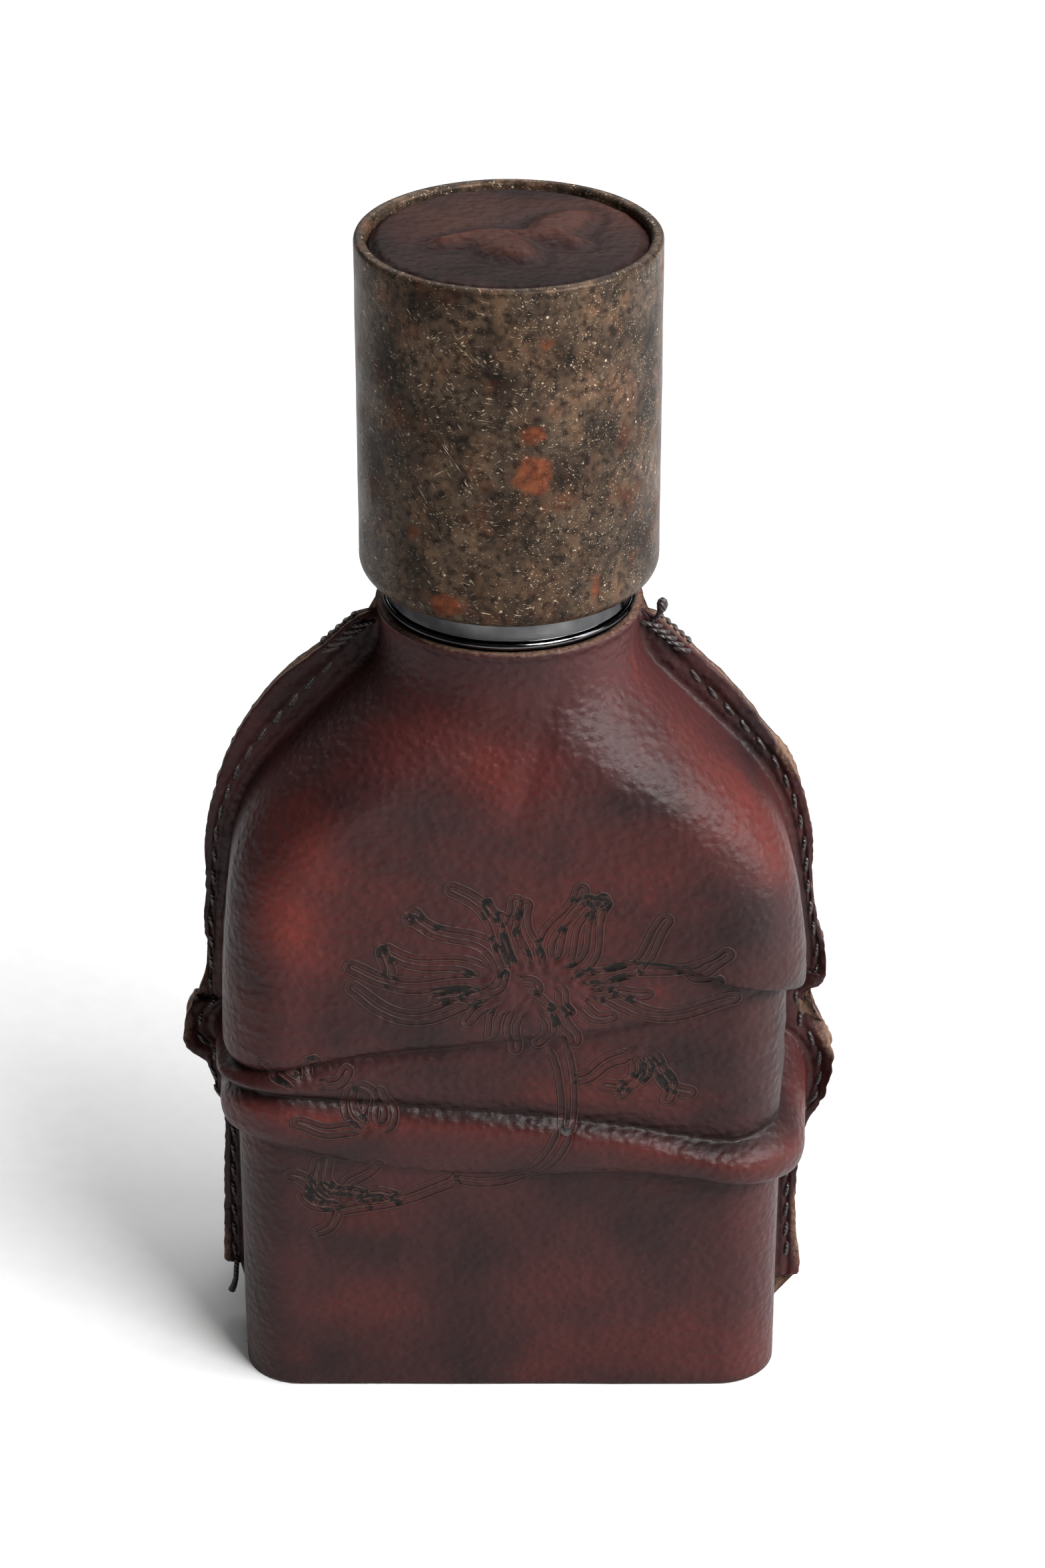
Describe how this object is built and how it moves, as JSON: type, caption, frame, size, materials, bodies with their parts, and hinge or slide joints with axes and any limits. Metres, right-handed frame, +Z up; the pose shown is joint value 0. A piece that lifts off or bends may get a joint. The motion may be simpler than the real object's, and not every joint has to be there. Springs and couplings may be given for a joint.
{
  "type": "leather-covered scent flask",
  "caption": "Flat glass scent flask in a stitched, wet-formed leather jacket, with a pull-off metal cap over a press-down spray pump.",
  "frame": {"origin": "middle of the base pad's underside, on the surface that the flask stands on", "axes": "+Z up along the neck, +X to the right along the flask's width, and the engraved front panel faces -Y"},
  "size_m": [0.0802, 0.0404, 0.1458],
  "materials": {
    "clear_glass": "clear, thick-walled, polished",
    "oxblood_leather": "burnished oxblood, satin, pebbled grain with redder worn patches",
    "dark_leather": "dark brown, dry, cracked grain",
    "leather_flesh": "raw light brown flesh side and cut edges",
    "waxed_thread": "dark waxed thread, hand stitched",
    "polished_chrome": "polished plate",
    "aged_metal": "aged brown patina, fine scratches, rust-red spots",
    "bare_aluminium": "bright rolled sheet",
    "natural_plastic": "natural milky moulding",
    "black_plastic": "fine satin moulding",
    "gasket_rubber": "matt",
    "bright_steel": "bright drawn wire and ball",
    "backing_card": "pressed board"
  },
  "bodies": {
    "bottle": {"glass_bottle": "clear_glass", "base_pad": "leather_flesh", "leather_front": "oxblood_leather", "leather_back": "oxblood_leather", "seam_thread_left": "waxed_thread", "seam_thread_right": "waxed_thread", "neck_binding_left": "waxed_thread", "neck_binding_right": "waxed_thread", "neck_gasket": "gasket_rubber", "crimp_ferrule": "bare_aluminium", "neck_collar": "polished_chrome", "pump_housing": "natural_plastic", "dip_tube": "natural_plastic", "return_spring": "bright_steel", "stem_gasket": "gasket_rubber", "pump_closure": "natural_plastic"},
    "cap": {"cap_shell": "aged_metal", "cap_liner": "black_plastic", "cap_card": "backing_card", "cap_relief_core": "leather_flesh", "cap_leather_disc": "dark_leather"},
    "stem": {"pump_stem": "natural_plastic", "pump_piston": "natural_plastic"},
    "button": {"actuator": "black_plastic", "actuator_sleeve": "polished_chrome", "nozzle_insert": "natural_plastic"},
    "ball": {"inlet_ball": "bright_steel"}
  },
  "joints": [
    {"name": "cap_lift", "type": "slide", "parent": "bottle", "child": "cap", "axis": [0, 0, 1], "range_m": [0, 0.045]},
    {"name": "pump_press", "type": "slide", "parent": "bottle", "child": "stem", "axis": [0, 0, -1], "range_m": [0, 0.004], "stiffness_N_per_m": 800, "springref_m": -0.004, "deforming": ["return_spring"]},
    {"name": "button_turn", "type": "hinge", "parent": "stem", "child": "button", "pos_m": [0, 0, 0.1194], "axis": [0, 0, 1], "continuous": true},
    {"name": "ball_lift", "type": "slide", "parent": "bottle", "child": "ball", "axis": [0, 0, 1], "range_m": [0, 0.0009]}
  ]
}
